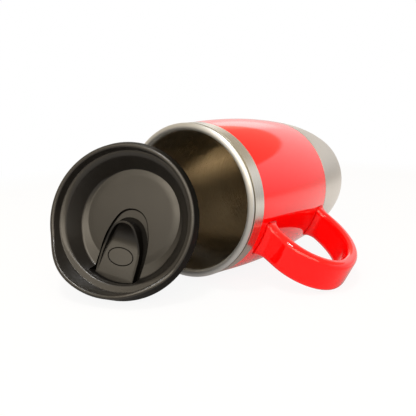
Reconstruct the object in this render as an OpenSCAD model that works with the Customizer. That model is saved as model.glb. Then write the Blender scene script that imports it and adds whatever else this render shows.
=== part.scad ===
// Insulated travel mug lying on its side, with its push-fit lid taken off.
// The lid stands on its edge on the same floor, ahead of the mug's mouth.
// Millimetres, +Z up. The origin is the centre of the mug's foot.
// Mug pieces are drawn upright on their own axis and then laid down.
// Lid pieces are drawn flat, with zero height where the flange meets the lip.

/* [Mug] */
// Height from the foot to the crest of the lip
mug_h = 135; // [115:1:170]
// Outer radius of the rolled lip
lip_r = 40.5; // [36:0.5:46]
// Radial width of the rolled lip
lip_w = 3.8; // [3:0.1:5]
// Thickness of the steel sheet
sheet_t = 0.6; // [0.4:0.05:0.8]
// Bare steel above the sleeve, lip included
band_h = 10; // [7:0.5:16]
// Radius of the bare steel band
band_r = 40.8; // [40.2:0.1:42]
// Bare steel base below the sleeve
base_h = 47; // [36:1:60]
// Outer radius of the base at the foot
foot_r = 31.4; // [28:0.2:35]
// Swell of the base beyond a straight taper
base_bulge = 1.3; // [0.4:0.1:2.5]
// Rounding at the foot of the base
foot_round = 2.4; // [1:0.2:4]
// Radius of the non-slip pad
pad_r = 25; // [18:0.5:27]
// Thickness of the non-slip pad
pad_t = 2; // [1.4:0.1:3]
// How far the pad stands below the steel
pad_proud = 0.6; // [0.3:0.1:1]
// Height of the inner floor above the foot
floor_h = 9; // [7:0.5:16]
// Inner radius of the liner where the base begins
liner_low_r = 36.1; // [34:0.1:36.4]
// Inner radius at which the liner's wall would meet its floor
liner_end_r = 29; // [25:0.5:30]
// Rounding between the liner's wall and its floor
liner_round = 7; // [3:0.5:10]

/* [Sleeve] */
// Outer radius at the sleeve's upper end
sleeve_top_r = 41; // [40.8:0.1:43]
// Outer radius at the sleeve's lower end
sleeve_low_r = 40.1; // [39.8:0.1:42]
// Swell of the sleeve between its ends
sleeve_bulge = 1.55; // [0.6:0.05:3]
// Bore radius of the sleeve
sleeve_in_r = 38.9; // [38.4:0.1:39.2]
// Chamfer at the sleeve's ends
sleeve_edge = 0.4; // [0.2:0.1:0.7]

/* [Handle] */
// Distance of the handle's outermost centre line from the mug's axis
handle_reach = 79; // [70:1:90]
// Height of the outermost point below the lip's crest
handle_drop = 40; // [36:1:46]
// Bend radius on the mouth side
bend_upper = 21.5; // [18:0.5:24]
// Height of the lower foot above the sleeve's lower end
foot_rise = 6.4; // [5.8:0.1:9]
// Angle by which the mouth-side arm runs back towards the base
arm_slant = 10; // [4:1:16]
// Width of the strap
strap_w = 17.2; // [13:0.2:20]
// Thickness of the strap
strap_t = 6.6; // [5.6:0.1:8.5]
// Rounding of the strap's edges
strap_round = 2.9; // [1.6:0.1:3]
// Spread of each foot along the mug
foot_flare = 1.8; // [1:0.2:2.2]
// Spread of each foot to either side
foot_spread = 1.8; // [1:0.2:5]
// Length over which a foot spreads
flare_len = 4.5; // [3:0.5:8]
// Screw shank radius
screw_r = 1.4; // [1.2:0.1:1.6]
// Screw head radius
screw_head_r = 2.7; // [2.4:0.1:3]
// Screw length from the face of its head
screw_len = 10; // [8:0.5:12]

/* [Lid] */
// Radius of the flange that rests on the lip
flange_r = 39.9; // [38.6:0.1:41]
// Height of the rim above the lip
rim_h = 5.1; // [4.4:0.1:7]
// Outer radius of the rim
rim_r = 38.3; // [38:0.1:39]
// Width of the rounded rim
rim_w = 1.95; // [1.6:0.05:2.4]
// Extra height of the rim on the drinking side
spout_h = 8.2; // [3:0.2:10]
// Distance from the lid's axis at which the drinking side starts to rise
spout_start = 15; // [6:1:16]
// Distance over which the drinking side climbs
spout_run = 21; // [14:1:22]
// Outer radius of the plug
plug_r = 35.4; // [34.6:0.1:36]
// Depth of the plug below the lip
plug_h = 18.6; // [16:0.2:24]
// Radius of the plug at its lower end
plug_end_r = 34; // [33:0.1:34.8]
// Wall of the plug below the dish
plug_wall = 2; // [1.6:0.1:2.2]
// Radius of the ledge inside the rim
ledge_r = 33; // [32.6:0.1:33.2]
// Radius at the foot of the dish's steep wall
dish_r = 31.86; // [31:0.05:32.2]
// Depth of the crescent shelf below the lip
shelf_z = 7.1; // [6:0.1:8.5]
// Depth of the dish's flat disc below the lip
disc_z = 10.25; // [9.4:0.05:11]
// Radius of the flat disc
disc_r = 25.9; // [23:0.1:27]
// Set-back of the disc from the drinking side
disc_back = 2.3; // [0:0.1:2.4]
// Thickness of the dish's floor
dish_t = 2.65; // [2.2:0.05:3.4]
// Depth of the slider's track below the disc
track_z = 1.2; // [0.8:0.1:1.6]
// Radius of the track's arched end
track_r = 9.6; // [9.2:0.1:11]
// Width of the track
track_w = 25.8; // [23.4:0.2:26.4]
// Inner end of the track, past the lid's axis
track_end = 7.1; // [6.6:0.1:8]
// Radius of the gasket's fins
gasket_r = 36.9; // [36.7:0.1:37]

/* [Slider] */
// Travel of the slider from closed to open
slider_travel = 6.2; // [4:0.1:6.3]
// Radius of the slider's arched end
slider_r = 7.4; // [6.6:0.1:8.6]
// Width of the slider
slider_w = 21.4; // [19:0.2:22]
// Depth of the slider's front below the lip
slider_z = 7; // [5:0.1:7.2]
// Depth of the slider's raised end below the lip
crest_z = 2.6; // [2:0.1:4.6]
// Width of the slider's raised border
border_w = 1; // [0.8:0.1:1.4]
// Depth of the thumb scoop below the slider's front
scoop_z = 2.3; // [1.6:0.1:2.8]
// Radius of the scoop's curved end
scoop_r = 11.4; // [9:0.2:13]
// Width of the drinking hole
hole_w = 12; // [8:0.5:13]
// Length of the drinking hole along the slider
hole_l = 4.6; // [3:0.1:4.8]
// Width of the slider's post
post_w = 4; // [3:0.1:5]
// Length of the slider's post
post_l = 6; // [4:0.1:7]

/* [Layout] */
// Angle at which the mug's base lies lower than its mouth
lie_tilt = 3; // [0:0.5:5]
// Sideways place of the lid, away from the handle
lid_side = 17.2; // [8:0.2:26]
// Gap between the lid and the plane of the lip, less than nothing where the plug reaches into the mouth
lid_gap = -1.6; // [-2:0.1:20]
// Angle by which the lid faces towards the handle's side
lid_turn = 17.6; // [0:0.1:30]
// Turn of the lid on its own axis, from drinking side straight down
lid_spin = 11; // [-20:0.5:20]

/* [Clearances] */
// Gap between pieces that are fixed together
fit_gap = 0.1; // [0.05:0.01:0.15]
// Gap between pieces that move past each other
run_gap = 0.3; // [0.2:0.05:0.4]

/* [Hidden] */
$fn = 128;
steps = 16;
steel = [0.74, 0.73, 0.70];
red = [0.85, 0.05, 0.05];
dark = [0.16, 0.15, 0.14];
silicone = [0.25, 0.25, 0.25];

// A circular arc through two ends, swelling outwards by its bulge.
// Ends are [radius, height] and the arc is [centre radius, centre height, radius].
function arc_of(low, top, bulge) =
    let (run = top - low)
    let (chord = norm(run))
    let (radius = (chord * chord / 4 + bulge * bulge) / (2 * bulge))
    let (out = [run[1], -run[0]] / chord)
    let (middle = (low + top) / 2 - (radius - bulge) * out)
    [middle[0], middle[1], radius];
function arc_r(arc, z) = arc[0] + sqrt(arc[2] * arc[2] - (z - arc[1]) * (z - arc[1]));
function arc_slope(arc, z) = asin((arc[1] - z) / arc[2]);
function arc_line(arc, z0, z1, inset = 0) =
    [for (i = [0:steps]) let (z = z0 + (z1 - z0) * i / steps) [arc_r(arc, z) - inset, z]];
function round_line(middle, radius, a0, a1) =
    [for (i = [0:steps]) let (a = a0 + (a1 - a0) * i / steps) middle + radius * [cos(a), sin(a)]];

// Rounding between a flat floor and the foot of an arc: [centre radius, centre height, slope, top]
function corner_of(arc, low, radius) =
    let (top = low + radius * (1 - sin(arc_slope(arc, low + radius / 2))))
    let (slope = arc_slope(arc, top))
    [arc_r(arc, top) - radius * cos(slope), top + radius * sin(slope), slope, top];

// Steel body
sleeve_top = mug_h - band_h;
lip_round = lip_w / 2;
lip_mid = [lip_r - lip_round, mug_h - lip_round];
curl_end = 60;
shell_in_r = sleeve_in_r - 3 * fit_gap - sheet_t;
neck_h = 6;
sleeve_arc = arc_of([sleeve_low_r, base_h], [sleeve_top_r, sleeve_top], sleeve_bulge);
base_arc = arc_of([foot_r, pad_proud], [sleeve_low_r, base_h], base_bulge);
liner_arc = arc_of([liner_end_r, floor_h], [liner_low_r, base_h], base_bulge);

// The laid mug touches the floor where its sleeve swells furthest down
floor_z = -(sleeve_arc[0] * cos(lie_tilt) - sleeve_arc[1] * sin(lie_tilt) + sleeve_arc[2]);

// Handle centre line, as [distance from the axis, height]
bend_z = mug_h - handle_drop;
foot_out = sleeve_top_r + sleeve_bulge + fit_gap;
stand_out = handle_reach - foot_out;
lower_foot_z = base_h + foot_rise;
lower_run = bend_z - lower_foot_z;
bend_lower = (stand_out * stand_out + lower_run * lower_run) / (2 * stand_out);
upper_mid = [handle_reach - bend_upper, bend_z];
lower_mid = [handle_reach - bend_lower, bend_z];
lower_end = acos((foot_out - lower_mid[0]) / bend_lower);
arm_start = upper_mid + bend_upper * [-sin(arm_slant), cos(arm_slant)];
arm_len = (arm_start[0] - foot_out) / cos(arm_slant);
upper_foot_z = arm_start[1] - arm_len * sin(arm_slant);

// Lowest reach of the handle's strap below the origin, at a given roll about the mug's axis
function handle_low(roll) =
    let (across = sin(roll) * cos(lie_tilt))
    let (in_plane = sqrt(across * across + sin(lie_tilt) * sin(lie_tilt)))
    let (sideways = cos(roll) * cos(lie_tilt))
    lower_mid[0] * across - lower_mid[1] * sin(lie_tilt)
    + (bend_lower + strap_t / 2 - strap_round) * in_plane
    + (strap_w / 2 - strap_round) * sideways + strap_round;
function roll_between(low, high, turns) =
    let (middle = (low + high) / 2)
    turns == 0 ? middle
    : handle_low(middle) < -floor_z ? roll_between(middle, high, turns - 1)
    : roll_between(low, middle, turns - 1);
roll_most = 60;
roll_turns = 30;
handle_roll = roll_between(0, roll_most, roll_turns);

// Screws through the sleeve into the handle's feet
screw_heights = [
    lower_foot_z + screw_len / 4 / tan(lower_end),
    upper_foot_z + screw_len / 4 * tan(arm_slant)];
screw_head_h = screw_head_r - screw_r;

// Lid in its own frame
rim_mid = [rim_r - rim_w / 2, rim_h - rim_w / 2];
flange_t = 1;
plug_in_r = plug_end_r - plug_wall;
groove_top = -5.4;
groove_low = -9.9;
groove_r = plug_r - 1.5;
track_floor = -disc_z - track_z;
under_z = -disc_z - dish_t;
slider_low = track_floor + run_gap;
slider_front = dish_r - 2 * run_gap;
seal_mid = 3.6 - slider_front;
seal_size = [hole_w + 3, hole_l + 1.4];
seal_low = track_floor + run_gap / 2;
seal_top = seal_low + 2;
track_wide_y = -16;
slider_wide_y = -20;
post_mid = -14;
clip_top = under_z - run_gap;
clip_low = clip_top - 1.6;
barb_low = clip_low - fit_gap - 1;

// The lid lies on the edges of its flange and its plug, ahead of the mouth
lid_lean = atan2(flange_r - plug_end_r, plug_h);
lid_axis = [sin(lid_turn) * cos(lid_lean), -cos(lid_turn) * cos(lid_lean), sin(lid_lean)];
mug_axis = [0, cos(lie_tilt), -sin(lie_tilt)];
facing = -lid_axis * mug_axis;
lid_back = plug_h * facing + plug_end_r * sqrt(1 - facing * facing);
mouth = -mug_h * mug_axis;
lid_z = floor_z + flange_r * cos(lid_lean);
lid_y = mouth[1] - (lid_back + lid_gap + (lid_z - mouth[2]) * mug_axis[2]) / mug_axis[1];

module lay_down() {
    rotate([90 - lie_tilt, 0, 0]) children();
}

module stand_lid() {
    translate([-lid_side, lid_y, lid_z])
    rotate([0, 0, lid_turn])
    rotate([90 - lid_lean, 0, 0])
    rotate([0, 0, -lid_spin])
    children();
}

// Drawn steel cup, its lip rolled outwards over the edge of the shell
module inner_liner() {
    corner = corner_of(liner_arc, floor_h, liner_round);
    corner_mid = [corner[0], corner[1]];
    low_z = corner[1] - liner_round;
    inside = concat(
        [[0, low_z]],
        round_line(corner_mid, liner_round, -90, -corner[2]),
        arc_line(liner_arc, corner[3], base_h),
        round_line(lip_mid, lip_round, 180, -curl_end));
    outside = concat(
        round_line(lip_mid, lip_round - sheet_t, -curl_end, 180),
        arc_line(liner_arc, base_h, corner[3], -sheet_t),
        round_line(corner_mid, liner_round + sheet_t, -corner[2], -90),
        [[0, low_z - sheet_t]]);
    color(steel) lay_down() rotate_extrude() polygon(concat(inside, outside));
}

// Outer steel wall: bare band above, stepped in below to carry the sleeve
module outer_shell() {
    edge_r = shell_in_r + sheet_t;
    edge_top = lip_mid[1] - lip_round / 4;
    drop = 1;
    curl_tip = lip_mid + lip_round * [cos(curl_end), -sin(curl_end)];
    shoulder_z = curl_tip[1] - fit_gap + drop * (curl_tip[0] - edge_r) / (lip_r - edge_r);
    step_z = sleeve_top + fit_gap;
    color(steel) lay_down() rotate_extrude() polygon([
        [edge_r, edge_top],
        [edge_r, shoulder_z],
        [lip_r, shoulder_z - drop],
        [band_r, step_z],
        [edge_r, step_z],
        [edge_r, base_h],
        [shell_in_r, base_h],
        [shell_in_r, step_z + sheet_t],
        [band_r - sheet_t, step_z + sheet_t],
        [lip_r - sheet_t, shoulder_z - drop - sheet_t / 2],
        [shell_in_r, shoulder_z - sheet_t / 2],
        [shell_in_r, edge_top]]);
}

// Bare steel base, with a joggled neck that enters the shell
module base_cup() {
    neck_r = shell_in_r - 2 * fit_gap;
    corner = corner_of(base_arc, pad_proud, foot_round);
    corner_mid = [corner[0], corner[1]];
    low_z = corner[1] - foot_round;
    recess_r = pad_r + fit_gap;
    outside = concat(
        [[0, pad_t]],
        [[recess_r, pad_t]],
        [[recess_r, low_z]],
        round_line(corner_mid, foot_round, -90, -corner[2]),
        arc_line(base_arc, corner[3], base_h),
        [[neck_r, base_h]],
        [[neck_r, base_h + neck_h]]);
    inside = concat(
        [[neck_r - sheet_t, base_h + neck_h]],
        [[neck_r - sheet_t, base_h - sheet_t]],
        arc_line(base_arc, base_h - sheet_t, corner[3], sheet_t),
        round_line(corner_mid, foot_round - sheet_t, -corner[2], -90),
        [[recess_r + sheet_t, low_z + sheet_t]],
        [[recess_r + sheet_t, pad_t + sheet_t]],
        [[0, pad_t + sheet_t]]);
    color(steel) lay_down() rotate_extrude() polygon(concat(outside, inside));
}

module foot_pad() {
    edge = 0.3;
    color(silicone) lay_down() rotate_extrude() polygon([
        [0, 0],
        [pad_r - edge, 0],
        [pad_r, edge],
        [pad_r, pad_t],
        [0, pad_t]]);
}

// One countersunk screw, pointing outwards from the bore of the sleeve
module screw() {
    rotate([0, 90, 0]) {
        cylinder(r = screw_r, h = screw_len);
        cylinder(r1 = screw_head_r, r2 = screw_r, h = screw_head_h);
    }
}

// Its hole, countersunk through the bore of the sleeve
module screw_hole() {
    mouth_r = screw_head_r + fit_gap + 1;
    rotate([0, 90, 0]) {
        cylinder(r = screw_r + fit_gap, h = screw_len + fit_gap);
        translate([0, 0, -1]) cylinder(r1 = mouth_r, r2 = screw_r + fit_gap, h = screw_head_h + 1);
    }
}

module at_screws() {
    rotate([0, 0, -handle_roll])
    for (z = screw_heights)
        translate([sleeve_in_r, 0, z]) children();
}

// Glossy barrel sleeve, drilled and countersunk from inside for the handle's screws
module sleeve() {
    outline = concat(
        [[sleeve_in_r, base_h]],
        [[sleeve_low_r - sleeve_edge, base_h]],
        arc_line(sleeve_arc, base_h + sleeve_edge, sleeve_top - sleeve_edge),
        [[sleeve_top_r - sleeve_edge, sleeve_top]],
        [[sleeve_in_r, sleeve_top]]);
    color(red) lay_down() difference() {
        rotate_extrude() polygon(outline);
        at_screws() screw_hole();
    }
}

// The handle is one loft: rounded-rectangle rings along the centre line that spread
// into a foot at each end, with both feet laid on the curved face of the sleeve.
corner_n = 4;
side_n = 7;
ring_n = 4 * (corner_n + 1) + 2 * (side_n - 1);
arm_n = 10;
upper_n = 13;
lower_n = 22;
seat_shares = [0.25, 0.5, 0.75];

// A place on the centre line: [distance, height, outward normal's two parts, length to the foot, foot's side]
function upper_arm(i) =
    let (run = arm_len * i / arm_n)
    let (place = arm_start - (arm_len - run) * [cos(arm_slant), sin(arm_slant)])
    [place[0], place[1], -sin(arm_slant), cos(arm_slant), run, 1];
function upper_bend(i) =
    let (a = (90 + arm_slant) * i / upper_n - arm_slant)
    let (place = upper_mid + bend_upper * [sin(a), cos(a)])
    [place[0], place[1], sin(a), cos(a), arm_len + i, 1];
function lower_bend(i) =
    let (a = lower_end * i / lower_n)
    let (place = lower_mid + bend_lower * [cos(a), -sin(a)])
    [place[0], place[1], cos(a), -sin(a), bend_lower * (lower_end - a) * PI / 180, -1];
centre_line = concat(
    [for (i = [0:arm_n - 1]) upper_arm(i)],
    [for (i = [0:upper_n - 1]) upper_bend(i)],
    [for (i = [0:lower_n]) lower_bend(i)]);

// Share of the foot's spread left at a distance from the sleeve, shaped like a fillet
function flare_share(run) =
    let (left = max(0, 1 - run / flare_len))
    1 - sqrt(1 - left * left);

// Ring points as [across the strap's thickness, along its width], with points along both broad faces
function strap_corner(q, deep, wide) =
    [for (i = [0:corner_n])
        let (a = 90 * q + 90 * i / corner_n)
        [(q == 0 || q == 3 ? deep : -deep) + strap_round * cos(a),
         (q < 2 ? wide : -wide) + strap_round * sin(a)]];
function strap_ring(share) =
    let (deep = strap_t / 2 - strap_round + foot_flare * share)
    let (wide = strap_w / 2 - strap_round + foot_spread * share)
    let (face = [for (i = [1:side_n - 1]) wide * (1 - 2 * i / side_n)])
    concat(
        strap_corner(0, deep, wide),
        strap_corner(1, deep, wide),
        [for (y = face) [-deep - strap_round, y]],
        strap_corner(2, deep, wide),
        strap_corner(3, deep, wide),
        [for (y = face) [deep + strap_round, -y]]);

// A point on the sleeve, a fit gap outside its surface
function on_sleeve(y, z) =
    let (r = arc_r(sleeve_arc, z) + fit_gap)
    sqrt(r * r - y * y);

// Near a foot the ring turns square to the mug and sinks to follow the sleeve
function placed_ring(at) =
    let (left = max(0, 1 - at[4] / flare_len))
    let (lean = [at[2] * (1 - left), at[3] * (1 - left) + at[5] * left])
    let (normal = lean / norm(lean))
    [for (p = strap_ring(flare_share(at[4])))
        let (z = at[1] + p[0] * normal[1])
        let (plain = at[0] + p[0] * normal[0])
        let (seated = on_sleeve(p[1], z) + at[4])
        [plain * (1 - left * left) + seated * left * left, p[1], z]];

// A foot's outline drawn in towards its middle, still on the sleeve
function seat_ring(ring, mid_z, share) =
    [for (p = ring)
        let (z = mid_z + (p[2] - mid_z) * share)
        [on_sleeve(p[1] * share, z), p[1] * share, z]];

module handle_loft() {
    strap = [for (at = centre_line) placed_ring(at)];
    upper_seat = strap[0];
    lower_seat = strap[len(strap) - 1];
    rings = concat(
        [for (share = seat_shares) seat_ring(upper_seat, upper_foot_z, share)],
        strap,
        [for (k = [len(seat_shares) - 1:-1:0]) seat_ring(lower_seat, lower_foot_z, seat_shares[k])]);
    ring_count = len(rings);
    last = ring_count * ring_n;
    points = concat(
        [for (ring = rings) for (p = ring) p],
        [[on_sleeve(0, upper_foot_z), 0, upper_foot_z]],
        [[on_sleeve(0, lower_foot_z), 0, lower_foot_z]]);
    near_half = [for (k = [0:ring_count - 2]) for (i = [0:ring_n - 1])
        [k * ring_n + i, k * ring_n + (i + 1) % ring_n, (k + 1) * ring_n + i]];
    far_half = [for (k = [0:ring_count - 2]) for (i = [0:ring_n - 1])
        [k * ring_n + (i + 1) % ring_n, (k + 1) * ring_n + (i + 1) % ring_n, (k + 1) * ring_n + i]];
    upper_fan = [for (i = [0:ring_n - 1]) [last, (i + 1) % ring_n, i]];
    lower_fan = [for (i = [0:ring_n - 1]) [last + 1, last - ring_n + i, last - ring_n + (i + 1) % ring_n]];
    polyhedron(points = points, faces = concat(near_half, far_half, upper_fan, lower_fan), convexity = 6);
}

module handle() {
    color(red) lay_down() difference() {
        rotate([0, 0, -handle_roll]) handle_loft();
        at_screws() screw_hole();
    }
}

module handle_screws() {
    color(steel) lay_down() at_screws() screw();
}

// Outline with an arched end whose sides swell smoothly to full width and then run straight
function egg_line(radius, end_y, half_w, wide_y) =
    let (rise = end_y - radius - wide_y)
    let (side_r = (half_w * half_w + rise * rise - radius * radius) / (2 * (half_w - radius)))
    let (turn = atan2(rise, side_r - half_w))
    let (side = round_line([half_w - side_r, wide_y], side_r, 0, turn))
    let (arch = round_line([0, end_y - radius], radius, turn, 180 - turn))
    let (arch_inner = [for (i = [1:steps - 1]) arch[i]])
    let (far_side = [for (i = [steps:-1:0]) [-side[i][0], side[i][1]]])
    concat([[half_w, -flange_r]], side, arch_inner, far_side, [[-half_w, -flange_r]]);

module tongue(radius, end_y, half_w, wide_y, front_r) {
    intersection() {
        polygon(egg_line(radius, end_y, half_w, wide_y));
        circle(r = front_r);
    }
}

module oval(size) {
    polygon([for (i = [0:47]) [size[0] / 2 * cos(7.5 * i), size[1] / 2 * sin(7.5 * i)]]);
}

module stadium(size) {
    square([size[0] - size[1], size[1]], center = true);
    for (side = [-1, 1])
        translate([side * (size[0] - size[1]) / 2, 0]) circle(d = size[1]);
}

// The rim wall on the drinking side is a loft whose rounded top climbs towards the front
spout_n = 36;
spout_edge = 6;
spout_span = 84;
spout_thin = 0.1;
function spout_top(a) =
    let (climb = min(1, max(0, (rim_mid[0] * cos(a) - spout_start) / spout_run)))
    rim_h - 2 * spout_thin + spout_h * climb * climb * (3 - 2 * climb);
function spout_ring(a) =
    let (half = rim_w / 2 - spout_thin)
    let (crest = spout_top(a) - half)
    let (crown = [for (i = [0:spout_edge]) 180 - 180 * i / spout_edge])
    let (line = concat(
        [[-half, 2]],
        [for (b = crown) [half * cos(b), crest + half * sin(b)]],
        [[half, 2]]))
    [for (p = line) [(rim_mid[0] + p[0]) * sin(a), -(rim_mid[0] + p[0]) * cos(a), p[1]]];

module spout() {
    rings = [for (i = [0:spout_n]) spout_ring(spout_span * (2 * i / spout_n - 1))];
    count = len(rings[0]);
    points = [for (ring = rings) for (p = ring) p];
    near_half = [for (k = [0:spout_n - 1]) for (i = [0:count - 1])
        [k * count + i, (k + 1) * count + i, k * count + (i + 1) % count]];
    far_half = [for (k = [0:spout_n - 1]) for (i = [0:count - 1])
        [k * count + (i + 1) % count, (k + 1) * count + i, (k + 1) * count + (i + 1) % count]];
    first = [for (i = [0:count - 1]) i];
    last = [for (i = [count - 1:-1:0]) spout_n * count + i];
    polyhedron(points = points, faces = concat(near_half, far_half, [first], [last]), convexity = 6);
}

// Push-in lid: plug, flange, raised rim and a dished top with the slider's track
module lid_body() {
    ledge_z = 0.9;
    cone_r = dish_r - disc_back - 0.1;
    slot_l = post_l + slider_travel + 2 * run_gap;
    outline = concat(
        [[0, -shelf_z]],
        [[dish_r, -shelf_z]],
        [[ledge_r, ledge_z]],
        [[rim_r - rim_w - 1.1, 2 * ledge_z]],
        round_line(rim_mid, rim_w / 2, 180, 0),
        [[flange_r, flange_t]],
        [[flange_r, 0]],
        [[plug_r, 0]],
        [[plug_r, groove_top]],
        [[groove_r, groove_top]],
        [[groove_r, groove_low]],
        [[plug_r, groove_low]],
        [[plug_r, under_z]],
        [[plug_end_r, -plug_h]],
        [[plug_in_r, -plug_h]],
        [[plug_in_r, under_z]],
        [[0, under_z]]);
    color(dark) stand_lid() difference() {
        union() {
            rotate_extrude() polygon(outline);
            spout();
        }
        translate([0, disc_back, 0]) rotate_extrude() polygon([
            [0, -disc_z],
            [disc_r, -disc_z],
            [cone_r, -shelf_z],
            [cone_r, -shelf_z + 0.3],
            [0, -shelf_z + 0.3]]);
        translate([0, 0, track_floor]) linear_extrude(height = -shelf_z - track_floor + 0.3)
            tongue(track_r, track_end, track_w / 2, track_wide_y, slider_front + run_gap);
        translate([0, seal_mid, under_z - 1]) linear_extrude(height = dish_t + 1) stadium([hole_w, hole_l]);
        translate([-post_w / 2 - run_gap, post_mid - post_l / 2 - run_gap, under_z - 1])
            cube([post_w + 2 * run_gap, slot_l, dish_t + 1]);
    }
}

// Silicone ring in the plug's groove, with two sealing fins
module lid_gasket() {
    body_r = plug_r - 2 * fit_gap;
    top_fin = groove_top - 1.3;
    low_fin = groove_low + 1.3;
    fin_half = 0.6;
    tip_half = 0.2;
    color(silicone) stand_lid() rotate_extrude() polygon([
        [groove_r + fit_gap / 2, groove_top - fit_gap / 2],
        [body_r, groove_top - fit_gap / 2],
        [body_r, top_fin + fin_half],
        [gasket_r, top_fin + tip_half],
        [gasket_r, top_fin - tip_half],
        [body_r, top_fin - fin_half],
        [body_r, low_fin + fin_half],
        [gasket_r, low_fin + tip_half],
        [gasket_r, low_fin - tip_half],
        [body_r, low_fin - fin_half],
        [body_r, groove_low + fit_gap / 2],
        [groove_r + fit_gap / 2, groove_low + fit_gap / 2]]);
}

// Side view of the slider, as [along it, height]: its border climbs towards the arched end
crest_run = 15;
function crest(y) =
    let (climb = min(1, max(0, 1 + y / crest_run)))
    -slider_z + (slider_z - crest_z) * climb * climb * (3 - 2 * climb);

// A side view carried across the slider
module across() {
    translate([-slider_front, 0, 0]) rotate([90, 0, 90]) linear_extrude(height = 2 * slider_front) children();
}

// Thumb slider with a raised end, a scooped top, an oval grip line and a barbed post
module slider() {
    scoop_floor = -slider_z - scoop_z;
    scoop_mid = [-scoop_r, scoop_floor + scoop_r];
    ramp_end = [3 - slider_front, -slider_z];
    to_mid = scoop_mid - ramp_end;
    ramp = asin(scoop_r / norm(to_mid)) - atan2(to_mid[1], to_mid[0]);
    oval_y = -18.5;
    oval_z = ramp_end[1] - (oval_y - ramp_end[0]) * tan(ramp);
    oval_size = [14.6, 9.6];
    oval_line = [1.2, 1.2];
    oval_deep = 0.4;
    barb = 0.6;
    color(dark) stand_lid() {
        difference() {
            intersection() {
                translate([0, 0, slider_low]) linear_extrude(height = -slider_low)
                    tongue(slider_r, 0, slider_w / 2, slider_wide_y, slider_front);
                across() polygon(concat(
                    [[slider_r, slider_low - 1]],
                    [[-flange_r, slider_low - 1]],
                    [[-flange_r, -slider_z]],
                    [for (i = [steps:-1:0]) let (y = -crest_run * i / steps) [y, crest(y)]],
                    [[slider_r, -crest_z]]));
            }
            intersection() {
                translate([0, 0, scoop_floor - 1]) linear_extrude(height = scoop_r)
                    tongue(slider_r - border_w, -border_w, slider_w / 2 - border_w, slider_wide_y, flange_r);
                across() polygon(concat(
                    [[ramp_end[0], scoop_r]],
                    [ramp_end],
                    round_line(scoop_mid, scoop_r, -90 - ramp, 0),
                    [[0, scoop_r]]));
            }
            translate([0, seal_mid, slider_low - 1])
                linear_extrude(height = seal_top + fit_gap - slider_low + 1)
                stadium(seal_size + 2 * fit_gap * [1, 1]);
            translate([0, oval_y, oval_z]) rotate([-ramp, 0, 0]) translate([0, 0, -oval_deep])
                linear_extrude(height = 2 * oval_deep) difference() {
                    oval(oval_size);
                    oval(oval_size - oval_line);
                }
        }
        translate([-post_w / 2, post_mid - post_l / 2, barb_low])
            cube([post_w, post_l, slider_low - barb_low + 1]);
        translate([-post_w / 2 - barb, post_mid - post_l / 2, barb_low])
            cube([post_w + 2 * barb, post_l, 1]);
    }
}

// Silicone pad in the slider's underside, over the drinking hole when closed
module slider_seal() {
    color(silicone) stand_lid() translate([0, seal_mid, seal_low])
        linear_extrude(height = seal_top - seal_low) stadium(seal_size);
}

// Plate snapped on the post below the lid's floor, which holds the slider down
module slider_clip() {
    clip_size = [post_w + 7, post_l + 7];
    color(dark) stand_lid() translate([0, post_mid, clip_low]) difference() {
        translate([-clip_size[0] / 2, -clip_size[1] / 2, 0])
            cube([clip_size[0], clip_size[1], clip_top - clip_low]);
        translate([-post_w / 2 - fit_gap, -post_l / 2 - fit_gap, -1])
            cube([post_w + 2 * fit_gap, post_l + 2 * fit_gap, clip_top - clip_low + 2]);
    }
}

inner_liner();
outer_shell();
base_cup();
foot_pad();
sleeve();
handle();
handle_screws();
lid_body();
lid_gasket();
slider();
slider_seal();
slider_clip();
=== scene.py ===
"""Looks of the insulated travel mug: turned steel, a glossy barrel sleeve, a strap handle and a dark lid."""
import math

import bmesh
import bpy
from mathutils import Euler, Matrix, Vector


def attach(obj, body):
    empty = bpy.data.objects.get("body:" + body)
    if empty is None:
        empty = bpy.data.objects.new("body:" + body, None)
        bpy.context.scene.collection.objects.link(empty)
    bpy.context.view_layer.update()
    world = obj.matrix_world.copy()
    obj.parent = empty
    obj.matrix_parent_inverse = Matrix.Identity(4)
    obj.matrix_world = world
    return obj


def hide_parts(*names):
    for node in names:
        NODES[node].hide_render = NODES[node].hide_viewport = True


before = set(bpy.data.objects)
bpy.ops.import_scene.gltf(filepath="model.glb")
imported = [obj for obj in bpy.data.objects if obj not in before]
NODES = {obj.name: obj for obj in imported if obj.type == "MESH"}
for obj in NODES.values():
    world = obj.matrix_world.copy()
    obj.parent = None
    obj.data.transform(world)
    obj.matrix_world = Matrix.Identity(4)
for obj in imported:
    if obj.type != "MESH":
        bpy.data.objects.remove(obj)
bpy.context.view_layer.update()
scene = bpy.context.scene
MM = 0.001

# Sizes of the steel body in millimetres: the solids' own, but for a flatter lip and a shorter sleeve
MUG_H = 135.0
LIP_R = 40.5
LIP_ROUND = 1.9
LIP_FALL = 1.2
CURL_END = 60.0
SHEET = 0.6
FIT = 0.1
BAND_R = 40.8
SLEEVE_TOP = 123.9
BASE_H = 47.0
FOOT_R = 31.4
FOOT_ROUND = 2.4
BASE_BULGE = 1.3
PAD_R = 25.0
PAD_T = 2.0
PAD_PROUD = 0.6
FLOOR_H = 9.0
LINER_LOW_R = 36.1
LINER_END_R = 29.0
LINER_ROUND = 7.0
NECK_H = 6.0
BAND_SLOPE = 1.0
BAND_ROUND = 0.45
STEP_ROUND = 0.25
CUT_ROUND = 0.15
BEND_ROUND = 0.2
BACK_ROUND = 0.3
FOOT_SOFT = 0.3
NICK = 0.05
PAD_SOFT = 0.5
PAD_RINGS = (8.0, 13.0, 18.0)
PAD_RING_SIDE = ((0.7, 0.0), (0.45, 0.08), (0.25, 0.3))

# Barrel sleeve
SLEEVE_TOP_R = 40.7
SLEEVE_LOW_R = 40.1
SLEEVE_BULGE = 1.70
SLEEVE_IN_R = 38.9
SLEEVE_EDGE = 0.4
SHELL_IN_R = SLEEVE_IN_R - 3 * FIT - SHEET

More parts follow.
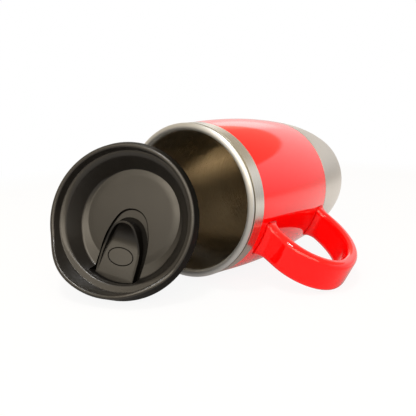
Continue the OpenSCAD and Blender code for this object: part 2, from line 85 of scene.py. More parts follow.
# Strap handle
HANDLE_REACH = 79.0
HANDLE_DROP = 40.0
BEND_UPPER = 21.5
FOOT_RISE = 6.4
ARM_SLANT = math.radians(10.0)
STRAP_W = 17.2
STRAP_T = 6.6
STRAP_ROUND = 2.9
FOOT_FLARE = 1.8
FOOT_SPREAD = 1.8
FLARE_LEN = 4.5
HANDLE_ROLL = math.radians(26.0137)

# Lid in its own frame: height zero where the flange meets the lip, drinking side towards -Y
FLANGE_R = 39.9
RIM_H = 5.1
RIM_R = 38.5
RIM_W = 2.1
SPOUT_H = 8.2
SPOUT_START = 15.0
SPOUT_RUN = 21.0
RIM_FOOT_R = 35.9
SHOULDER = 4.0
LEDGE_TILT = 8.0
WALL_TILT = 58.0
FRONT_FADE = (math.cos(math.radians(62)), math.cos(math.radians(30)))
LEDGE = 0.4
FRONT_LEDGE = 2.8
FRONT_SHOULDER = 1.2
FRONT_WALL_TILT = 74.0
DISH_R = 31.86
CONE_TOP = -9.5
DISC_R = 25.45
DISC_Z = -10.25
DISC_BACK = 2.65
DISC_T = 2.65
DISC_FALL = 0.45
DISC_FALL_TURN = math.radians(125.0)
DISC_FALL_MEAN = 0.54
DISC_FALL_SWING = 0.46
DISC_BLEND = 3.0
DISC_BORDER = 3.0
DISC_SOFT = 20.0
DISC_EDGE = 0.12
DISC_RINGS = (0.0, 0.3, 0.6, 0.8, 1.0)
CONE_ROUND = 1.6
UNDER_Z = DISC_Z - DISC_T
FLANGE_T = 0.8
PLUG_R = 35.4
PLUG_END_R = 34.0
PLUG_WALL = 2.0
PLUG_Z = -18.6
GROOVE_R = 33.9
GROOVE_TOP = -5.4
GROOVE_LOW = -9.9
GASKET_R = 36.9
FIN_INSET = 1.3
FIN_ROOT = 0.6
FIN_TIP = 0.2

# Track of the slider, the drinking hole, the slot of the slider's post and its oval grip
RUN = 0.3
TRACK_DEPTH = 1.2
TRACK_FLOOR = DISC_Z - TRACK_DEPTH
TRACK_TOP = -1.2
WELL_END = 2.4
WELL_DEPTH = 0.45
EDGE_LINE = 0.8
TRACK_R = 9.6
TRACK_W = 25.8
TRACK_END = 7.1
TRACK_WIDE_Y = -16.0
SLIDER_FRONT = DISH_R - 2 * RUN
HOLE_INSET = 3.6
HOLE_MID = HOLE_INSET - SLIDER_FRONT
HOLE_W = 12.0
HOLE_L = 4.6
POST_W = 4.0
POST_L = 6.0
POST_MID = -14.0
OVAL_MID = -18.5
OVAL_R = (7.0, 4.5)
SLIDER_TRAVEL = 6.2
THUMB_EDGE = 0.24

# How the mug lies and how the lid stands in front of its mouth
MUG_LAY = Euler((math.radians(87.0), 0.0, 0.0))
LID_PLACE = Vector((-17.2, -163.862, 0.0808))
LID_LAY = (
    Matrix.Rotation(math.radians(17.6), 3, "Z")
    @ Matrix.Rotation(math.radians(90.0 - 17.5993), 3, "X")
    @ Matrix.Rotation(math.radians(-11.0), 3, "Z")
).to_euler()
FLOOR_Z = -37.9517
FINE = 32
BACK_N = 12
LIP_N = 40
LIP_BACK_N = 16
FLOOR_N = 8
EDGE_N = 8
BARREL_N = 64


def arc_of(low, top, bulge):
    """Centre and radius of a circular arc through two ends, swelling outwards by its bulge."""
    low, top = Vector(low), Vector(top)
    run = top - low
    radius = (run.length ** 2 / 4 + bulge ** 2) / (2 * bulge)
    out = Vector((run.y, -run.x)) / run.length
    return (low + top) / 2 - (radius - bulge) * out, radius


def arc_r(arc, z):
    """Distance of an arc from the axis at a height."""
    middle, radius = arc
    return middle.x + math.sqrt(radius ** 2 - (z - middle.y) ** 2)


def arc_slope(arc, z):
    """Slope of an arc against the axis at a height."""
    middle, radius = arc
    return math.asin((middle.y - z) / radius)


def arc_line(arc, z0, z1, inset=0.0, count=FINE):
    """Points of an arc from one height to another, moved towards the axis by the inset."""
    heights = [z0 + (z1 - z0) * i / count for i in range(count + 1)]
    return [(arc_r(arc, z) - inset, z) for z in heights]


def round_line(middle, radius, a0, a1, count=FINE):
    """Points of an arc about a middle, from one angle to another in degrees."""
    turns = [math.radians(a0 + (a1 - a0) * i / count) for i in range(count + 1)]
    return [(middle[0] + radius * math.cos(a), middle[1] + radius * math.sin(a)) for a in turns]


def corner_of(arc, low, radius):
    """Rounding between a floor and the foot of an arc: its middle, slope in degrees and top."""
    top = low + radius * (1 - math.sin(arc_slope(arc, low + radius / 2)))
    slope = arc_slope(arc, top)
    middle = (arc_r(arc, top) - radius * math.cos(slope), top + radius * math.sin(slope))
    return middle, math.degrees(slope), top


FILLET_SHARE = 0.48


def filleted(corners, count=6):
    """Closed outline whose corners, each (radius, height, rounding), are replaced by small arcs."""
    points = []
    total = len(corners)
    for k, (x, y, rounding) in enumerate(corners):
        here = Vector((x, y))
        if rounding <= 0:
            points.append((x, y))
            continue
        to_last = Vector(corners[k - 1][:2]) - here
        to_next = Vector(corners[(k + 1) % total][:2]) - here
        back, ahead = to_last.normalized(), to_next.normalized()
        half = back.angle(ahead) / 2
        most = FILLET_SHARE * min(to_last.length, to_next.length) * math.tan(half)
        rounding = min(rounding, most)
        reach = rounding / math.tan(half)
        middle = here + (back + ahead).normalized() * rounding / math.sin(half)
        start = here + back * reach - middle
        end = here + ahead * reach - middle
        swing = start.angle_signed(end)
        for i in range(count + 1):
            a = -swing * i / count
            turned = Vector((start.x * math.cos(a) - start.y * math.sin(a),
                             start.x * math.sin(a) + start.y * math.cos(a)))
            points.append(tuple(middle + turned))
    return points


SLEEVE_ARC = arc_of((SLEEVE_LOW_R, BASE_H), (SLEEVE_TOP_R, SLEEVE_TOP), SLEEVE_BULGE)
BASE_ARC = arc_of((FOOT_R, PAD_PROUD), (SLEEVE_LOW_R, BASE_H), BASE_BULGE)
LINER_ARC = arc_of((LINER_END_R, FLOOR_H), (LINER_LOW_R, BASE_H), BASE_BULGE)


# Node helpers


def put(tree, kind, inputs=None, **settings):
    """Adds a node, sets its properties, and links or sets its inputs."""
    made = tree.nodes.new(kind)
    for key, value in settings.items():
        setattr(made, key, value)
    for key, value in (inputs or {}).items():
        if isinstance(value, bpy.types.NodeSocket):
            tree.links.new(value, made.inputs[key])
        else:
            made.inputs[key].default_value = value
    return made


def math_node(tree, operation, first, second=0.0):
    return put(tree, "ShaderNodeMath", {0: first, 1: second}, operation=operation).outputs[0]


def spread(tree, value, low, high, from_low=0.3, from_high=0.7):
    """Maps a mask's middle part to a range of values."""
    made = put(tree, "ShaderNodeMapRange", {
        "Value": value, "From Min": from_low, "From Max": from_high, "To Min": low, "To Max": high})
    return made.outputs["Result"]


def tint(tree, mask, first, second):
    """Mixes two colours by a mask."""
    made = put(tree, "ShaderNodeMix", {"Factor": mask}, data_type="RGBA")
    colours = [s for s in made.inputs if s.type == "RGBA"]
    colours[0].default_value = (*first, 1.0)
    colours[1].default_value = (*second, 1.0)
    return next(s for s in made.outputs if s.type == "RGBA")


# Shared effects


def moulded_group():
    """Skin of a moulded piece: a fine pebble in its height and a broad mottle over the surface."""
    tree = bpy.data.node_groups.new("moulded_skin", "ShaderNodeTree")
    tree.interface.new_socket("Vector", in_out="INPUT", socket_type="NodeSocketVector")
    tree.interface.new_socket("Pebble", in_out="INPUT", socket_type="NodeSocketFloat")
    tree.interface.new_socket("Cloud", in_out="INPUT", socket_type="NodeSocketFloat")
    tree.interface.new_socket("Height", in_out="OUTPUT", socket_type="NodeSocketFloat")
    tree.interface.new_socket("Mottle", in_out="OUTPUT", socket_type="NodeSocketFloat")
    ins = tree.nodes.new("NodeGroupInput")
    outs = tree.nodes.new("NodeGroupOutput")
    pebble = put(tree, "ShaderNodeTexNoise", {
        "Vector": ins.outputs["Vector"], "Scale": ins.outputs["Pebble"], "Detail": 2.0})
    cloud = put(tree, "ShaderNodeTexNoise", {
        "Vector": ins.outputs["Vector"], "Scale": ins.outputs["Cloud"], "Detail": 3.0})
    tree.links.new(pebble.outputs[0], outs.inputs["Height"])
    tree.links.new(cloud.outputs[0], outs.inputs["Mottle"])
    return tree


def turning_group():
    """Turning marks round the Z axis: fine lines, and slow bands between them."""
    tree = bpy.data.node_groups.new("turning_marks", "ShaderNodeTree")
    tree.interface.new_socket("Vector", in_out="INPUT", socket_type="NodeSocketVector")
    tree.interface.new_socket("Lines", in_out="INPUT", socket_type="NodeSocketFloat")
    tree.interface.new_socket("Length", in_out="INPUT", socket_type="NodeSocketFloat")
    tree.interface.new_socket("Marks", in_out="OUTPUT", socket_type="NodeSocketFloat")
    tree.interface.new_socket("Bands", in_out="OUTPUT", socket_type="NodeSocketFloat")
    ins = tree.nodes.new("NodeGroupInput")
    outs = tree.nodes.new("NodeGroupOutput")
    parts = put(tree, "ShaderNodeSeparateXYZ", {0: ins.outputs["Vector"]})
    across = put(tree, "ShaderNodeCombineXYZ", {0: parts.outputs[0], 1: parts.outputs[1]})
    radius = put(tree, "ShaderNodeVectorMath", {0: across.outputs[0]}, operation="LENGTH").outputs["Value"]
    round_way = put(tree, "ShaderNodeVectorMath", {0: across.outputs[0]}, operation="NORMALIZE").outputs[0]
    stretched = put(tree, "ShaderNodeVectorMath", {
        0: round_way, "Scale": ins.outputs["Length"]}, operation="SCALE").outputs[0]
    along = math_node(tree, "ADD", parts.outputs[2], radius)
    lifted = put(tree, "ShaderNodeCombineXYZ", {2: math_node(tree, "MULTIPLY", along, ins.outputs["Lines"])})
    place = put(tree, "ShaderNodeVectorMath", {
        0: stretched, 1: lifted.outputs[0]}, operation="ADD").outputs[0]
    marks = put(tree, "ShaderNodeTexNoise", {"Vector": place, "Scale": 1.0, "Detail": 4.0, "Roughness": 0.65})
    bands = put(tree, "ShaderNodeTexNoise", {"Vector": place, "Scale": 0.06, "Detail": 2.0})
    tree.links.new(marks.outputs[0], outs.inputs["Marks"])
    tree.links.new(bands.outputs[0], outs.inputs["Bands"])
    return tree


MOULDED = moulded_group()
TURNING = turning_group()


COAT_ROUGH = 0.03
QUARTER_TURN = 0.25


def new_material(name):
    """An empty material: itself, its tree, its shader and the piece's own coordinates."""
    material = bpy.data.materials.new(name)
    material.use_nodes = True
    tree = material.node_tree
    tree.nodes.clear()
    out = tree.nodes.new("ShaderNodeOutputMaterial")
    shader = tree.nodes.new("ShaderNodeBsdfPrincipled")
    tree.links.new(shader.outputs[0], out.inputs[0])
    place = tree.nodes.new("ShaderNodeTexCoord")
    return material, tree, shader, place.outputs["Object"]


def moulded_material(name, first, second, rough, pebble, cloud, strength, depth, coat=0.0, gloss=0.5):
    """Moulded plastic or silicone: two close colours, a roughness range and a pebbled skin."""
    material, tree, shader, place = new_material(name)
    skin = put(tree, "ShaderNodeGroup", node_tree=MOULDED)
    tree.links.new(place, skin.inputs["Vector"])
    skin.inputs["Pebble"].default_value = pebble
    skin.inputs["Cloud"].default_value = cloud
    mottle = spread(tree, skin.outputs["Mottle"], 0.0, 1.0)
    tree.links.new(tint(tree, mottle, first, second), shader.inputs["Base Color"])
    tree.links.new(spread(tree, skin.outputs["Mottle"], *rough), shader.inputs["Roughness"])
    bump = put(tree, "ShaderNodeBump", {
        "Strength": strength, "Distance": depth, "Height": skin.outputs["Height"]})
    tree.links.new(bump.outputs[0], shader.inputs["Normal"])
    shader.inputs["Specular IOR Level"].default_value = gloss
    shader.inputs["Coat Weight"].default_value = coat
    shader.inputs["Coat Roughness"].default_value = COAT_ROUGH
    return material


def turned_material(name, first, second, rough, lines, length, strength, depth, stretch=0.0):
    """Steel turned on a lathe: marks that run round the mug's axis and stretch its highlights along it."""
    material, tree, shader, place = new_material(name)
    upright = put(tree, "ShaderNodeMapping", {"Vector": place, "Rotation": (-MUG_LAY.x, 0.0, 0.0)})
    turning = put(tree, "ShaderNodeGroup", node_tree=TURNING)
    tree.links.new(upright.outputs[0], turning.inputs["Vector"])
    turning.inputs["Lines"].default_value = lines
    turning.inputs["Length"].default_value = length
    bands = spread(tree, turning.outputs["Bands"], 0.0, 1.0)
    tree.links.new(tint(tree, bands, first, second), shader.inputs["Base Color"])
    tree.links.new(spread(tree, turning.outputs["Marks"], *rough), shader.inputs["Roughness"])
    bump = put(tree, "ShaderNodeBump", {
        "Strength": strength, "Distance": depth, "Height": turning.outputs["Marks"]})
    tree.links.new(bump.outputs[0], shader.inputs["Normal"])
    shader.inputs["Metallic"].default_value = 1.0
    if stretch:
        shader.inputs["Anisotropic"].default_value = stretch
        shader.inputs["Anisotropic Rotation"].default_value = QUARTER_TURN
        tangent = put(tree, "ShaderNodeTangent", direction_type="UV_MAP", uv_map="UVMap")
        tree.links.new(tangent.outputs[0], shader.inputs["Tangent"])
    return material


RED = moulded_material(
    "red_plastic", (0.90, 0.002, 0.002), (0.87, 0.0015, 0.0015),
    rough=(0.05, 0.08), pebble=420.0, cloud=30.0, strength=0.04, depth=0.0002, coat=0.15)
DARK = moulded_material(
    "dark_plastic", (0.012, 0.0105, 0.009), (0.009, 0.008, 0.007),
    rough=(0.30, 0.38), pebble=2600.0, cloud=90.0, strength=0.06, depth=0.0001, gloss=0.8)
SLIDER_DARK = moulded_material(
    "slider_plastic", (0.007, 0.006, 0.005), (0.005, 0.0045, 0.004),
    rough=(0.30, 0.36), pebble=2600.0, cloud=90.0, strength=0.05, depth=0.0001, gloss=0.75)
# A darker, less glossy copy of the lid's plastic: painted shade on the track's walls and well, the rim's
# outer wall, the slider's sides and its oval groove
SHADE_DARK = moulded_material(
    "painted_shade_plastic", (0.005, 0.0045, 0.004), (0.004, 0.0035, 0.003),
    rough=(0.50, 0.60), pebble=2600.0, cloud=90.0, strength=0.05, depth=0.0001, gloss=0.12)
SILICONE = moulded_material(
    "silicone", (0.060, 0.058, 0.056), (0.045, 0.044, 0.043),
    rough=(0.55, 0.68), pebble=3200.0, cloud=120.0, strength=0.3, depth=0.0001)
RUBBER = moulded_material(
    "pad_rubber", (0.035, 0.034, 0.033), (0.024, 0.024, 0.023),
    rough=(0.62, 0.75), pebble=2600.0, cloud=140.0, strength=0.5, depth=0.0002)
BAND_STEEL = turned_material(
    "band_steel", (0.61, 0.585, 0.540), (0.58, 0.555, 0.510),
    rough=(0.22, 0.30), lines=9000.0, length=1.5, strength=0.05, depth=0.00002, stretch=0.6)
BASE_STEEL = turned_material(
    "base_steel", (0.60, 0.56, 0.515), (0.57, 0.53, 0.485),
    rough=(0.26, 0.34), lines=8000.0, length=1.5, strength=0.06, depth=0.00002, stretch=0.6)
LINER_STEEL = turned_material(
    "liner_steel", (0.66, 0.60, 0.50), (0.63, 0.57, 0.47),
    rough=(0.26, 0.33), lines=8000.0, length=2.0, strength=0.03, depth=0.00002, stretch=0.6)
SCREW_STEEL = turned_material(
    "screw_steel", (0.72, 0.72, 0.71), (0.66, 0.66, 0.66),
    rough=(0.22, 0.35), lines=4000.0, length=2.0, strength=0.1, depth=0.00003)

# The rolled lip's steel is painted paler than the drawn wall, a painted sheen that brightens its reflections,
# and a painted shade darkens the crease behind it
LIP_SHEEN_COLOUR = (0.82, 0.84, 0.86)
LIP_ROUGH = 0.48
CREASE_SHADE_COLOUR = (0.16, 0.15, 0.11)
CREASE_ROUGH = 0.5
CREASE_LOW = 132.06
CREASE_HIGH = 132.26


def paint_shading_past(material, low, high, colour, rough):
    """Changes a turned steel's colour and roughness along the axis, from one height to another: here a
    painted sheen on the lip and a painted shade in the crease.
    """
    tree = material.node_tree
    shader = next(n for n in tree.nodes if n.type == "BSDF_PRINCIPLED")
    upright = next(n for n in tree.nodes if n.type == "MAPPING")
    parts = put(tree, "ShaderNodeSeparateXYZ", {0: upright.outputs[0]})
    mask = spread(tree, parts.outputs[2], 0.0, 1.0, low * MM, high * MM)
    for socket, form, kind, value in (
        ("Base Color", "RGBA", "RGBA", (*colour, 1.0)),
        ("Roughness", "FLOAT", "VALUE", rough),
    ):
        before = shader.inputs[socket].links[0].from_socket
        mixed = put(tree, "ShaderNodeMix", {"Factor": mask}, data_type=form)
        ends = [s for s in mixed.inputs if s.type == kind and s.name in ("A", "B")]
        tree.links.new(before, ends[0])
        ends[1].default_value = value
        tree.links.new(next(s for s in mixed.outputs if s.type == kind), shader.inputs[socket])


# Painted sheen on the rolled lip, painted shade in the crease between the lip and the band
paint_shading_past(LINER_STEEL, MUG_H - 2 * LIP_ROUND, MUG_H - LIP_ROUND, LIP_SHEEN_COLOUR, LIP_ROUGH)
paint_shading_past(BAND_STEEL, CREASE_LOW, CREASE_HIGH, CREASE_SHADE_COLOUR, CREASE_ROUGH)


# Turned pieces: an outline carried round an axis by one geometry tree

JOIN = 1e-6
FLAT_WEIGHT = 80


def turned_tree():
    """Carries an outline round the Z axis, closes the seam, and lays the piece in its place."""
    tree = bpy.data.node_groups.new("turned_piece", "GeometryNodeTree")
    tree.is_modifier = True
    for name, kind in (
        ("Outline", "NodeSocketGeometry"),
        ("Segments", "NodeSocketInt"),
        ("Lay", "NodeSocketVector"),
        ("Place", "NodeSocketVector"),
        ("Finish", "NodeSocketMaterial"),
    ):
        tree.interface.new_socket(name, in_out="INPUT", socket_type=kind)
    tree.interface.new_socket("Piece", in_out="OUTPUT", socket_type="NodeSocketGeometry")
    ins = tree.nodes.new("NodeGroupInput")
    outs = tree.nodes.new("NodeGroupOutput")
    rows = put(tree, "GeometryNodeAttributeDomainSize", {0: ins.outputs["Outline"]}, component="MESH")
    columns = math_node(tree, "ADD", ins.outputs["Segments"], 1.0)
    grid = put(tree, "GeometryNodeMeshGrid", {
        "Vertices X": columns, "Vertices Y": rows.outputs["Point Count"]})
    index = tree.nodes.new("GeometryNodeInputIndex").outputs[0]
    row = put(tree, "FunctionNodeIntegerMath", {0: index, 1: rows.outputs["Point Count"]}, operation="MODULO")
    column = put(tree, "FunctionNodeIntegerMath", {
        0: index, 1: rows.outputs["Point Count"]}, operation="DIVIDE_FLOOR")
    step = math_node(tree, "DIVIDE", 2 * math.pi, ins.outputs["Segments"])
    angle = math_node(tree, "MULTIPLY", column.outputs[0], step)
    spot = put(tree, "GeometryNodeSampleIndex", {
        0: ins.outputs["Outline"], "Index": row.outputs[0]}, data_type="FLOAT_VECTOR")
    position = tree.nodes.new("GeometryNodeInputPosition").outputs[0]
    tree.links.new(position, spot.inputs["Value"])
    carried = put(tree, "ShaderNodeVectorRotate", {
        "Vector": spot.outputs[0], "Angle": angle}, rotation_type="Z_AXIS")
    mapped = put(tree, "GeometryNodeStoreNamedAttribute", {
        "Geometry": grid.outputs["Mesh"], "Name": "UVMap", "Value": grid.outputs["UV Map"]},
        data_type="FLOAT2", domain="CORNER")
    shaped = put(tree, "GeometryNodeSetPosition", {
        "Geometry": mapped.outputs[0], "Position": carried.outputs[0]})
    closed = put(tree, "GeometryNodeMergeByDistance", {0: shaped.outputs[0], "Distance": JOIN})
    lay = put(tree, "FunctionNodeEulerToRotation", {0: ins.outputs["Lay"]})
    laid = put(tree, "GeometryNodeTransform", {
        "Geometry": closed.outputs[0], "Translation": ins.outputs["Place"], "Rotation": lay.outputs[0]})
    smooth = put(tree, "GeometryNodeSetShadeSmooth", {"Geometry": laid.outputs[0]})
    real = put(tree, "GeometryNodeRealizeInstances", {"Geometry": smooth.outputs[0]})
    finish = put(tree, "GeometryNodeSetMaterial", {
        "Geometry": real.outputs[0], "Material": ins.outputs["Finish"]})
    tree.links.new(finish.outputs[0], outs.inputs["Piece"])
    return tree


TURNED = turned_tree()


def facing_out(mesh):
    """Turns every face of a closed mesh outwards."""
    shape = bmesh.new()
    shape.from_mesh(mesh)
    bmesh.ops.remove_doubles(shape, verts=shape.verts, dist=JOIN)
    bmesh.ops.recalc_face_normals(shape, faces=shape.faces)
    for face in shape.faces:
        face.smooth = True
    shape.to_mesh(mesh)
    shape.free()


def even_normals(piece):
    """Keeps broad faces flat in their shading and gives the bend to the small roundings."""
    weigh = piece.modifiers.new("even_normals", "WEIGHTED_NORMAL")
    weigh.weight = FLAT_WEIGHT
    weigh.keep_sharp = True


def add_piece(name, mesh, material, body, replaced):
    """A finished piece that rides on a body and stands for a solid."""
    piece = bpy.data.objects.new(name, mesh)
    scene.collection.objects.link(piece)
    mesh.materials.clear()
    mesh.materials.append(material)
    even_normals(piece)
    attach(piece, body)
    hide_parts(replaced)
    return piece


def turned_mesh(outline, segments, lay, place, material):
    """Runs the geometry tree on an outline given as (radius, height) in millimetres."""
    points = [Vector((r * MM, 0.0, z * MM)) for r, z in outline]
    points.append(points[0].copy())
    line = bpy.data.meshes.new("outline")
    line.from_pydata(points, [(i, i + 1) for i in range(len(points) - 1)], [])
    carrier = bpy.data.objects.new("outline", line)
    scene.collection.objects.link(carrier)
    modifier = carrier.modifiers.new("turned", "NODES")
    modifier.node_group = TURNED
    key = {s.name: s.identifier for s in TURNED.interface.items_tree}
    modifier[key["Segments"]] = segments
    modifier[key["Lay"]] = tuple(lay)
    modifier[key["Place"]] = tuple(place * MM)
    modifier[key["Finish"]] = material
    graph = bpy.context.evaluated_depsgraph_get()
    mesh = bpy.data.meshes.new_from_object(carrier.evaluated_get(graph))
    bpy.data.objects.remove(carrier)
    facing_out(mesh)
    return mesh


def turned_piece(name, outline, material, body, node, segments=192):
    """A turned piece on the mug's axis or the lid's."""
    lay, place = (LID_LAY, LID_PLACE) if body == "lid" else (MUG_LAY, Vector())
    mesh = turned_mesh(outline, segments, lay, place, material)
    return add_piece(name, mesh, material, body, node)


def rolled_line(inset, start, end, steps):
    """The lip's roll, flatter outside than inside, on the sheet's face or inset from it."""
    points = []
    for i in range(steps + 1):
        turn = math.radians(start + (end - start) * i / steps)
        height = LIP_ROUND if math.cos(turn) < 0 else LIP_FALL
        r = LIP_R - LIP_ROUND + (LIP_ROUND - inset) * math.cos(turn)
        points.append((r, MUG_H - height + (height - inset) * math.sin(turn)))
    return points


def liner_outline():
    """Drawn cup with its lip rolled outwards."""
    middle, slope, top = corner_of(LINER_ARC, FLOOR_H, LINER_ROUND)
    low = middle[1] - LINER_ROUND
    wider = LIP_R - 2 * LIP_ROUND - LINER_LOW_R
    rise = MUG_H - LIP_ROUND - BASE_H
    inside = [(middle[0] * i / FLOOR_N, low) for i in range(FLOOR_N)]
    inside += round_line(middle, LINER_ROUND, -90, -slope)
    inside += arc_line(LINER_ARC, top, BASE_H)[1:]
    inside += [(LINER_LOW_R + wider * i / FINE, BASE_H + rise * i / FINE) for i in range(1, FINE)]
    inside += rolled_line(0.0, 180, -CURL_END, LIP_N)
    outside = rolled_line(SHEET, -CURL_END, 180, LIP_BACK_N)
    outside += [(LINER_LOW_R + SHEET, BASE_H)]
    outside += arc_line(LINER_ARC, BASE_H, top, -SHEET, BACK_N)[1:]
    outside += round_line(middle, LINER_ROUND + SHEET, -slope, -90, BACK_N)[1:]
    return inside + outside + [(0.0, low - SHEET)]


def shell_outline():
    """Outer wall: the bare band under the lip, stepped in below to carry the sleeve."""
    edge_r = SHELL_IN_R + SHEET
    tip_r, tip_z = rolled_line(0.0, -CURL_END, -CURL_END, 1)[0]
    shoulder = tip_z - FIT + BAND_SLOPE * (tip_r - edge_r) / (LIP_R - edge_r)
    band_top = shoulder - BAND_SLOPE
    edge_top = shoulder + SHEET
    step = SLEEVE_TOP + FIT
    return filleted([
        (edge_r, edge_top, CUT_ROUND),
        (edge_r, shoulder, BEND_ROUND),
        (LIP_R, band_top, BAND_ROUND),
        (BAND_R, step, STEP_ROUND),
        (edge_r, step, BEND_ROUND),
        (edge_r, BASE_H, CUT_ROUND),
        (SHELL_IN_R, BASE_H, CUT_ROUND),
        (SHELL_IN_R, step + SHEET, BEND_ROUND),
        (BAND_R - SHEET, step + SHEET, BACK_ROUND),
        (LIP_R - SHEET, band_top - SHEET / 2, BACK_ROUND),
        (SHELL_IN_R, shoulder - SHEET / 2, BEND_ROUND),
        (SHELL_IN_R, edge_top, CUT_ROUND)])


def base_outline():
    """Bare base with a rounded foot, a recess for the pad and a neck that enters the shell."""
    neck_r = SHELL_IN_R - 2 * FIT
    middle, slope, top = corner_of(BASE_ARC, PAD_PROUD, FOOT_ROUND)
    low = middle[1] - FOOT_ROUND
    recess = PAD_R + FIT
    soft = (recess + FOOT_SOFT, low + FOOT_SOFT)
    outside = [(0.0, PAD_T), (recess / 2, PAD_T), (recess - NICK, PAD_T), (recess, PAD_T - NICK)]
    outside += [(recess, soft[1])] + round_line(soft, FOOT_SOFT, 180, 270, 6)[1:]
    outside += [(middle[0] - 2 * FOOT_SOFT, low)]
    outside += round_line(middle, FOOT_ROUND, -90, -slope, 2 * EDGE_N)
    outside += arc_line(BASE_ARC, top, BASE_H - BEND_ROUND)[1:]
    outside += [(SLEEVE_LOW_R - BEND_ROUND, BASE_H), (neck_r + FIT, BASE_H), (neck_r, BASE_H + FIT)]
    outside += [(neck_r, BASE_H + NECK_H)]
    inside = [(neck_r - SHEET, BASE_H + NECK_H), (neck_r - SHEET, BASE_H - SHEET)]
    inside += arc_line(BASE_ARC, BASE_H - SHEET, top, SHEET, BACK_N)
    inside += round_line(middle, FOOT_ROUND - SHEET, -slope, -90, EDGE_N)[1:]
    inside += [(recess + SHEET, low + SHEET), (recess + SHEET, PAD_T + SHEET), (0.0, PAD_T + SHEET)]
    return outside + inside


def pad_outline():
    """Non-slip pad with a rounded edge and shallow rings."""
    outline = [(0.0, 0.0)]
    for ring in PAD_RINGS:
        outline += [(ring - half, depth) for half, depth in PAD_RING_SIDE]
        outline += [(ring + half, depth) for half, depth in reversed(PAD_RING_SIDE)]
    outline += [(PAD_R - PAD_SOFT - FIT, 0.0)]
    outline += round_line((PAD_R - PAD_SOFT, PAD_SOFT), PAD_SOFT, -90, 0, EDGE_N)
    return outline + [(PAD_R, PAD_T - NICK), (PAD_R - NICK, PAD_T), (0.0, PAD_T)]


def sleeve_outline():
    """Barrel sleeve with softened ends."""
    soft = SLEEVE_EDGE
    low = round_line((SLEEVE_LOW_R - soft, BASE_H + soft), soft, -90, 0, EDGE_N)
    high = round_line((SLEEVE_TOP_R - soft, SLEEVE_TOP - soft), soft, 0, 90, EDGE_N)
    barrel = arc_line(SLEEVE_ARC, BASE_H + soft, SLEEVE_TOP - soft, 0.0, BARREL_N)
    shift_low = barrel[0][0] - SLEEVE_LOW_R
    shift_high = barrel[-1][0] - SLEEVE_TOP_R
    low = [(r + shift_low, z) for r, z in low]
    high = [(r + shift_high, z) for r, z in high]
    bore = [(SLEEVE_IN_R, SLEEVE_TOP), (SLEEVE_IN_R, SLEEVE_TOP - BEND_ROUND)]
    bore += [(SLEEVE_IN_R, BASE_H + BEND_ROUND), (SLEEVE_IN_R, BASE_H)]
    return low + barrel[1:-1] + high + bore


def gasket_outline():
    """Silicone ring with two fins."""
    body_r = PLUG_R - 2 * FIT
    back = GROOVE_R + FIT / 2
    top, low = GROOVE_TOP - FIT / 2, GROOVE_LOW + FIT / 2
    corners = [(back, top, 0.1), (body_r, top, 0.15)]
    for fin in (GROOVE_TOP - FIN_INSET, GROOVE_LOW + FIN_INSET):
        corners += [(body_r, fin + FIN_ROOT, 0.15), (GASKET_R, fin + FIN_TIP, 0.12)]
        corners += [(GASKET_R, fin - FIN_TIP, 0.12), (body_r, fin - FIN_ROOT, 0.15)]
    corners += [(body_r, low, 0.15), (back, low, 0.1)]
    return filleted(corners, 4)


turned_piece("cup_liner", liner_outline(), LINER_STEEL, "mug", "inner_liner", 256)
turned_piece("steel_shell", shell_outline(), BAND_STEEL, "mug", "outer_shell", 256)
turned_piece("steel_base", base_outline(), BASE_STEEL, "mug", "base_cup", 256)
turned_piece("rubber_foot", pad_outline(), RUBBER, "mug", "foot_pad")
turned_piece("barrel_sleeve", sleeve_outline(), RED, "mug", "sleeve", 256)
turned_piece("plug_gasket", gasket_outline(), SILICONE, "lid", "lid_gasket")


# Strap handle: rounded rings along its centre line, spread into feet that lie on the sleeve

CORNER_N = 8
SIDE_N = 10
ARM_N = 22
UPPER_N = 34
LOWER_N = 56
SEAT_SHARES = (0.25, 0.5, 0.75)
BEND_Z = MUG_H - HANDLE_DROP
FOOT_OUT = SLEEVE_TOP_R + SLEEVE_BULGE + FIT
STAND_OUT = HANDLE_REACH - FOOT_OUT
LOWER_FOOT_Z = BASE_H + FOOT_RISE
BEND_LOWER = (STAND_OUT ** 2 + (BEND_Z - LOWER_FOOT_Z) ** 2) / (2 * STAND_OUT)
UPPER_MID = Vector((HANDLE_REACH - BEND_UPPER, BEND_Z))
LOWER_MID = Vector((HANDLE_REACH - BEND_LOWER, BEND_Z))
LOWER_END = math.acos((FOOT_OUT - LOWER_MID.x) / BEND_LOWER)
ARM_START = UPPER_MID + BEND_UPPER * Vector((-math.sin(ARM_SLANT), math.cos(ARM_SLANT)))
ARM_LEN = (ARM_START.x - FOOT_OUT) / math.cos(ARM_SLANT)
UPPER_FOOT_Z = ARM_START.y - ARM_LEN * math.sin(ARM_SLANT)


def centre_line():
    """Places along the strap: middle, outward normal, length to the nearer foot and that foot's side."""
    line = []
    for i in range(ARM_N):
        run = ARM_LEN * i / ARM_N
        place = ARM_START - (ARM_LEN - run) * Vector((math.cos(ARM_SLANT), math.sin(ARM_SLANT)))
        line.append((place, Vector((-math.sin(ARM_SLANT), math.cos(ARM_SLANT))), run, 1))
    for i in range(UPPER_N):
        a = (math.pi / 2 + ARM_SLANT) * i / UPPER_N - ARM_SLANT
        normal = Vector((math.sin(a), math.cos(a)))
        line.append((UPPER_MID + BEND_UPPER * normal, normal, ARM_LEN + i, 1))
    for i in range(LOWER_N + 1):
        a = LOWER_END * i / LOWER_N
        normal = Vector((math.cos(a), -math.sin(a)))
        line.append((LOWER_MID + BEND_LOWER * normal, normal, BEND_LOWER * (LOWER_END - a), -1))
    return line


